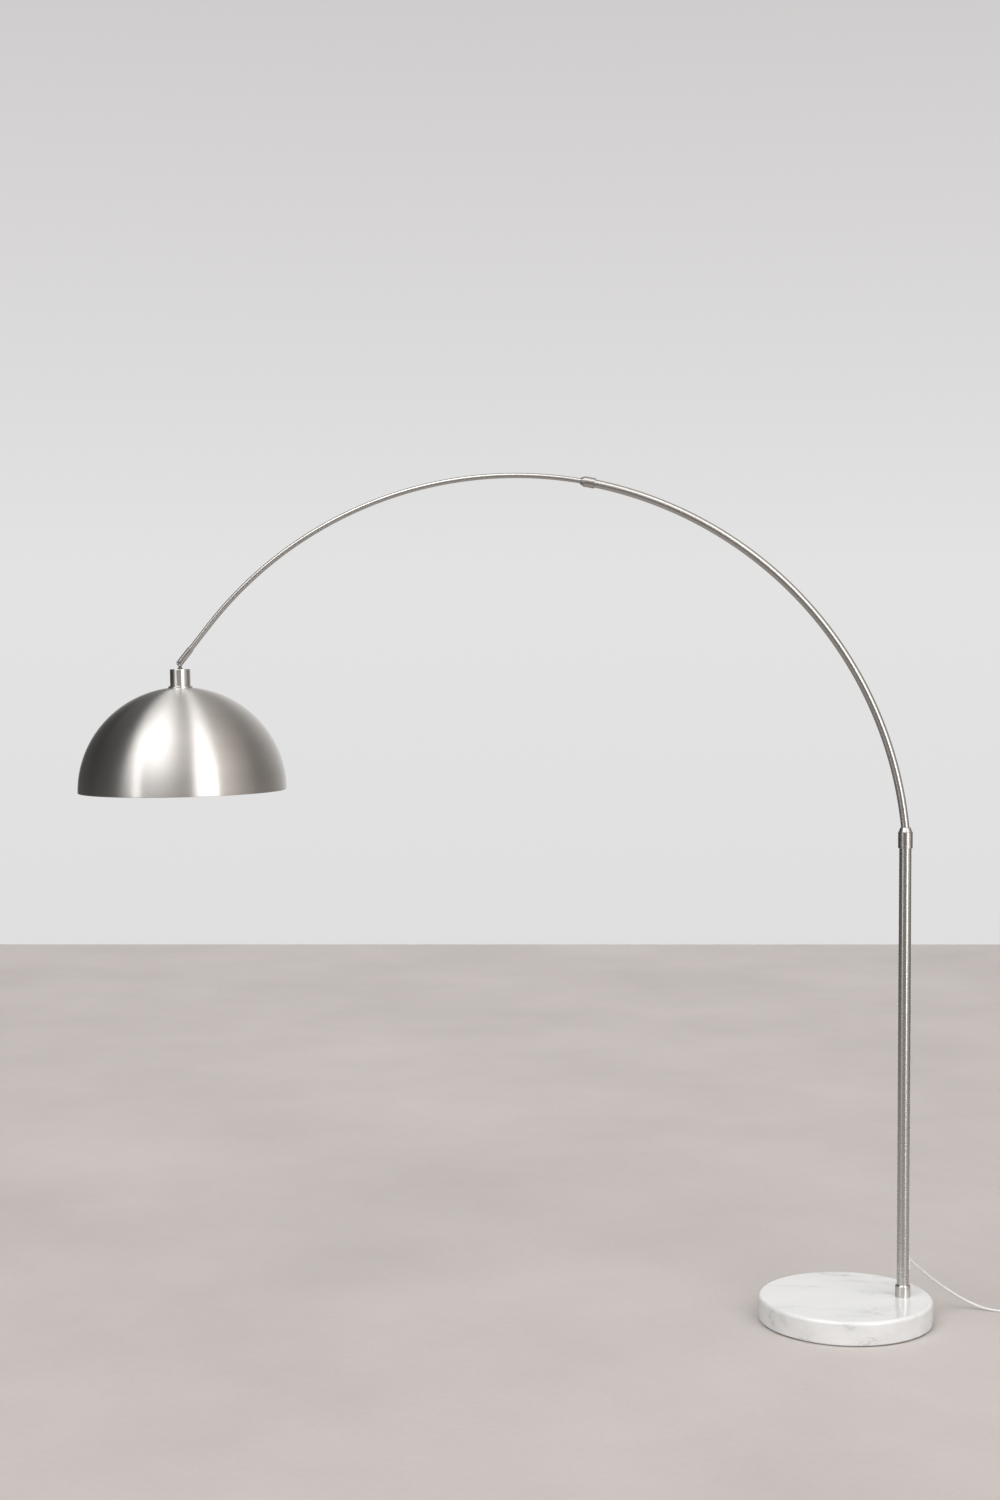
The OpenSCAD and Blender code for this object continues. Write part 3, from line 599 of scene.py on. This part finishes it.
rings += [(stadium(SX, SY, SL, SW, 2.2 * (1 - math.cos(math.radians(t)))), 15.8 + 2.2 * math.sin(math.radians(t))) for t in (12, 24, 36, 48, 60, 75, 90)]
rings += [(circle(SX, SY, 12.45), 18.0), (circle(SX, SY, 12.15), 17.92), (circle(SX, SY, 11.92), 17.7), (circle(SX, SY, 11.85), 17.4), (circle(SX, SY, 11.85), 16.0),
          (stadium(SX, SY, SL, SW, 2.6), 16.0), (stadium(SX, SY, SL, SW, 2.0), 15.4), (stadium(SX, SY, SL, SW, 2.0), 10.0)]
v, f = stack(rings, closed=True)
cover = make("switch_lid", v, f, "base", "white_plastic", white_mat, sharp=38, replaces=["switch_cover"])
prof = [(0, 10.4), (12.3, 10.4), (12.5, 10.6), (12.5, 12.2), (12.3, 12.4), (11.45, 12.4), (11.45, 20.3)]
prof += arc(10.25, 20.5, 1.2, 0, 90, 7)
prof += [(9.6, 21.72), (9.3, 21.6), (9.1, 21.3), (8.8, 21.25), (8.4, 21.5), (7.6, 21.45), (6.0, 21.25), (4.0, 21.05), (2.0, 20.95), (0, 20.92)]
v, f, u = lathe(prof, 72)
button = make("foot_button", v, f, "button", "white_plastic", white_mat, uvs=u, sharp=40, place=Matrix.Translation((SX, SY, 0)), replaces=["switch_button"])

# ------------------------------------------------------------------ coil tie
def rounded(w, h, r, n=10):
    pts = []
    for cx, cy, a0 in ((w / 2 - r, h / 2 - r, 0), (-w / 2 + r, h / 2 - r, 90), (-w / 2 + r, -h / 2 + r, 180), (w / 2 - r, -h / 2 + r, 270)):
        pts += arc(cx, cy, r, a0, a0 + 90, n)
    return pts


outer, inner = rounded(18.0, 12.5, 3.2), rounded(16.8, 11.3, 2.6)
n = len(outer)
loops = []
for y, k_in in ((-2.4, 0.25), (-2.15, 0.0), (2.15, 0.0), (2.4, 0.25)):
    loops.append([(x * (1 - k_in / 9), h * (1 - k_in / 6.2), y) for x, h in outer])
for y, k_in in ((2.4, 0.0), (-2.4, 0.0)):
    loops.append([(x, h, y) for x, h in inner])
verts = [(447.5 + x, 122.0 + y, 6.3 + h) for lp in loops for x, h, y in lp]
faces = []
for i in range(6):
    a, b = i * n, ((i + 1) % 6) * n
    for k in range(n):
        k1 = (k + 1) % n
        faces.append((a + k, b + k, b + k1, a + k1))
tie = make("cable_tie", verts, faces, "base", "white_plastic", white_mat, sharp=40, replaces=["coil_tie"])
rings = [([(x * q + 447.5, y * q + 122.0) for x, y in rounded(7.2, 6.6, 1.0)], z) for q, z in ((0.94, 12.3), (1.0, 12.7), (1.0, 15.4), (0.94, 15.9), (0.86, 16.0))]
v, f = stack(rings)
tie_head = make("cable_tie_head", v, f, "base", "white_plastic", white_mat, sharp=40)
rings = [([(x * q + 447.5, y * q + 122.0) for x, y in rounded(1.3, 4.2, 0.5)], z) for q, z in ((1.0, 15.8), (1.0, 18.6), (0.8, 19.0))]
v, f = stack(rings)
tie_tail = make("cable_tie_stub", v, f, "base", "white_plastic", white_mat, sharp=40)

# ------------------------------------------------------------------ plug
def oval(a, b, power, n=64):
    pts = []
    for k in range(n):
        t = 2 * math.pi * k / n
        c, q = math.cos(t), math.sin(t)
        pts.append((a * math.copysign(abs(c) ** (2 / power), c), b * math.copysign(abs(q) ** (2 / power), q)))
    return pts


sections = [(0.0, 3.2, 3.2, 2.0), (0.25, 3.55, 3.55, 2.0), (1.0, 3.7, 3.7, 2.0)]
for k in range(41):
    y = 2.0 + 18.0 * k / 40
    groove = 0.5 * (0.5 - 0.5 * math.cos(2 * math.pi * (y - 2.0) / 3.0))
    sections.append((y, 3.75 + 0.075 * y - groove, 3.75 + 0.075 * y - groove, 2.0))
for k in range(1, 25):
    t = k / 24
    y = 20.5 + 26.0 * t
    sections.append((y, 5.4 + 11.9 * smooth(t), 5.4 + 1.4 * smooth(t * 1.6), 2.0 + 1.4 * smooth(t)))
sections += [(50.5, 17.4, 6.8, 3.5), (53.6, 17.4, 6.8, 3.5), (54.4, 17.15, 6.55, 3.5), (54.8, 16.7, 6.15, 3.4), (55.0, 16.0, 5.6, 3.3)]
verts, faces, n = [], [], 64
for y, a, b_, pw in sections:
    verts += [(524.5 + x, 147.0 + y, 6.9 + z_) for x, z_ in oval(a, b_, pw)]
for i in range(len(sections) - 1):
    for k in range(n):
        k1 = (k + 1) % n
        faces.append((i * n + k, (i + 1) * n + k, (i + 1) * n + k1, i * n + k1))
faces.append(tuple(range(n)))
faces.append(tuple(range(len(sections) * n - 1, (len(sections) - 1) * n - 1, -1)))
plug = make("mains_plug", verts, faces, "base", "white_plastic", white_mat, sharp=42, replaces=["plug_body"])

# ------------------------------------------------------------------ stage
def stage_plane(name, corners, mat):
    m = bpy.data.meshes.new(name)
    m.from_pydata(corners, [], [(0, 1, 2, 3)])
    m.materials.append(mat)
    o = bpy.data.objects.new(name, m)
    scene.collection.objects.link(o)
    return o


fm, nt, b = new_mat("pale_floor", Roughness=0.75)
b.inputs["Specular IOR Level"].default_value = 0.25
src = node(nt, "ShaderNodeTexCoord").outputs["Object"]
n1 = node(nt, "ShaderNodeTexNoise", Scale=1.1, Detail=6.0, Roughness=0.6)
n2 = node(nt, "ShaderNodeTexNoise", Scale=55.0, Detail=5.0, Roughness=0.7)
nt.links.new(src, n1.inputs["Vector"])
nt.links.new(src, n2.inputs["Vector"])
mixn = node(nt, "ShaderNodeMath", operation="MULTIPLY_ADD")
mixn.inputs[1].default_value = 0.35
nt.links.new(n2.outputs["Fac"], mixn.inputs[0])
nt.links.new(n1.outputs["Fac"], mixn.inputs[2])
cr = ramp(nt, [(0.45, (0.505, 0.467, 0.447)), (0.90, (0.59, 0.548, 0.527))], mixn.outputs[0])
# in the metal's reflections the floor is a painted glow, with painted shade that darkens it with distance into an unlit
# room
way = node(nt, "ShaderNodeVectorMath", operation="LENGTH")
nt.links.new(src, way.inputs[0])
fall = node(nt, "ShaderNodeMapRange", interpolation_type="SMOOTHSTEP")
fall.inputs["From Min"].default_value, fall.inputs["From Max"].default_value = 1.2, 4.5
nt.links.new(way.outputs["Value"], fall.inputs["Value"])
painted_floor_glow = ramp(nt, [(0.0, (0.50, 0.465, 0.445)), (1.0, (0.14, 0.132, 0.126))], fall.outputs["Result"])
# painted light: glossy rays see the floor as this glowing colour, not as a lit surface
glow = node(nt, "ShaderNodeEmission")
nt.links.new(painted_floor_glow.outputs["Color"], glow.inputs["Color"])
path = node(nt, "ShaderNodeLightPath")
pick = node(nt, "ShaderNodeMixShader")
nt.links.new(path.outputs["Is Glossy Ray"], pick.inputs["Fac"])
nt.links.new(b.outputs["BSDF"], pick.inputs[1])
nt.links.new(glow.outputs["Emission"], pick.inputs[2])
nt.links.new(cr.outputs["Color"], b.inputs["Base Color"])
bump(nt, b, n2.outputs["Fac"], 0.15, 0.002)
# the floor shows only from above, so that the underside can be looked at
geo = node(nt, "ShaderNodeNewGeometry")
clear = node(nt, "ShaderNodeBsdfTransparent")
two = node(nt, "ShaderNodeMixShader")
# and it is open under the base, where nobody sees it, so that light reaches the felt
near = node(nt, "ShaderNodeMath", operation="LESS_THAN")
near.inputs[1].default_value = 0.19
nt.links.new(way.outputs["Value"], near.inputs[0])
either = node(nt, "ShaderNodeMath", operation="MAXIMUM")
nt.links.new(geo.outputs["Backfacing"], either.inputs[0])
nt.links.new(near.outputs[0], either.inputs[1])
nt.links.new(either.outputs[0], two.inputs["Fac"])
nt.links.new(pick.outputs["Shader"], two.inputs[1])
nt.links.new(clear.outputs["BSDF"], two.inputs[2])
nt.links.new(two.outputs["Shader"], nt.nodes["Material Output"].inputs["Surface"])
stage_plane("studio_floor", [(-7.4, -6.6, -0.0004), (6.2, -6.6, -0.0004), (6.2, 6.454, -0.0004), (-7.4, 6.226, -0.0004)], fm)

# ------------------------------------------------------------------ light
w = bpy.data.worlds.new("studio")
scene.world = w
w.use_nodes = True
nt = w.node_tree
nt.nodes.clear()
L = nt.links.new
out = node(nt, "ShaderNodeOutputWorld")
tc = node(nt, "ShaderNodeTexCoord")
sep = node(nt, "ShaderNodeSeparateXYZ")
L(tc.outputs["Generated"], sep.inputs["Vector"])
neg = node(nt, "ShaderNodeMath", operation="MULTIPLY")
neg.inputs[1].default_value = -1.0
L(sep.outputs["Y"], neg.inputs[0])
az = node(nt, "ShaderNodeMath", operation="ARCTAN2")
L(sep.outputs["X"], az.inputs[0])
L(neg.outputs[0], az.inputs[1])
turn = node(nt, "ShaderNodeMapRange")
turn.inputs["From Min"].default_value, turn.inputs["From Max"].default_value = -math.pi, math.pi
L(az.outputs[0], turn.inputs["Value"])


def g(v, warm=0.0):
    return (v * (1 + warm), v, v * (1 - warm))


def A(deg):
    return (deg + 180) / 360.0


low = ramp(nt, [(A(-180), g(0.80)), (A(-165), g(0.75)), (A(-153), g(0.09)), (A(-112), g(0.05)), (A(-80), g(0.09)), (A(-66), g(0.20)), (A(-60), g(0.55)), (A(-50), g(0.80)),
                (A(-42), g(0.45)), (A(-28), g(0.14)), (A(-6), g(0.16, 0.03)), (A(20), g(0.38, 0.03)), (A(28), g(3.1)), (A(39), g(3.1)), (A(45), g(1.55, 0.02)), (A(60), g(1.05, 0.04)),
                (A(80), g(0.55, 0.07)), (A(104), g(0.20, 0.08)), (A(124), g(0.25, 0.05)), (A(150), g(0.50, 0.02)), (A(180), g(0.80))], turn.outputs["Result"])
high = ramp(nt, [(A(-180), g(0.55)), (A(-150), g(0.22)), (A(-105), g(0.08)), (A(-69), g(0.17)), (A(-62), g(4.2)), (A(-28), g(4.2)), (A(-12), g(3.2, 0.01)),
                 (A(6), g(1.5, 0.02)), (A(24), g(1.0, 0.03)), (A(32), g(1.15, 0.03)), (A(36), g(3.1)), (A(48), g(3.1)), (A(55), g(1.25, 0.04)), (A(80), g(0.62, 0.06)), (A(112), g(0.32, 0.08)),
                 (A(150), g(0.40, 0.04)), (A(180), g(0.55))], turn.outputs["Result"])
rise = node(nt, "ShaderNodeMapRange", interpolation_type="SMOOTHSTEP")
rise.inputs["From Min"].default_value, rise.inputs["From Max"].default_value = 0.46, 0.64
L(sep.outputs["Z"], rise.inputs["Value"])
mid = node(nt, "ShaderNodeMix", data_type="RGBA")
L(rise.outputs["Result"], mid.inputs[0])
L(low.outputs["Color"], mid.inputs[6])
L(high.outputs["Color"], mid.inputs[7])
up = node(nt, "ShaderNodeMapRange", interpolation_type="SMOOTHSTEP")
up.inputs["From Min"].default_value, up.inputs["From Max"].default_value = 0.90, 1.0
L(sep.outputs["Z"], up.inputs["Value"])
mix = node(nt, "ShaderNodeMix", data_type="RGBA")
L(up.outputs["Result"], mix.inputs[0])
L(mid.outputs[2], mix.inputs[6])
mix.inputs[7].default_value = (0.6, 0.59, 0.58, 1)
bg_light = node(nt, "ShaderNodeBackground", Strength=1.0)
L(mix.outputs[2], bg_light.inputs["Color"])
# the wall that the camera sees carries painted shade: darker towards the top and a little darker towards the floor
bg_wall = node(nt, "ShaderNodeBackground", Strength=1.0)
wz = node(nt, "ShaderNodeMapRange")
wz.inputs["From Min"].default_value, wz.inputs["From Max"].default_value = -0.2, 0.35
L(sep.outputs["Z"], wz.inputs["Value"])
painted_wall_shade = ramp(nt, [(0.0, (0.735, 0.730, 0.730)), (0.42, (0.775, 0.770, 0.770)), (1.0, (0.585, 0.565, 0.565))], wz.outputs["Result"])
L(painted_wall_shade.outputs["Color"], bg_wall.inputs["Color"])
lp = node(nt, "ShaderNodeLightPath")
ms = node(nt, "ShaderNodeMixShader")
L(lp.outputs["Is Camera Ray"], ms.inputs["Fac"])
L(bg_light.outputs["Background"], ms.inputs[1])
L(bg_wall.outputs["Background"], ms.inputs[2])
L(ms.outputs["Shader"], out.inputs["Surface"])


def area(name, loc, target, sx, sy, power, diffuse=True, glossy=True):
    d = bpy.data.lights.new(name, "AREA")
    d.shape = "RECTANGLE"
    d.size, d.size_y = sx, sy
    d.energy = power
    o = bpy.data.objects.new(name, d)
    scene.collection.objects.link(o)
    o.location = loc
    o.rotation_euler = (Vector(target) - Vector(loc)).to_track_quat("-Z", "Y").to_euler()
    o.visible_camera = False
    o.visible_diffuse = diffuse
    o.visible_glossy = glossy
    return o


area("key_right", (1.2, -6.6, 3.3), (-0.9, 0.3, 0.2), 2.6, 3.6, 37, glossy=False)
area("strip_right", (2.95, -4.3, 1.25), (0.1, 0, 0.75), 0.8, 2.3, 22, diffuse=False)
area("strip_left", (-4.2, -3.2, 1.25), (0.1, 0, 0.75), 0.7, 2.3, 9, diffuse=False)
area("overhead", (-0.8, -1.5, 5.5), (-0.8, 1.0, 0), 6.0, 5.0, 36, glossy=False)

scene.view_settings.view_transform = "Standard"
scene.view_settings.look = "None"

bpy.context.view_layer.update()
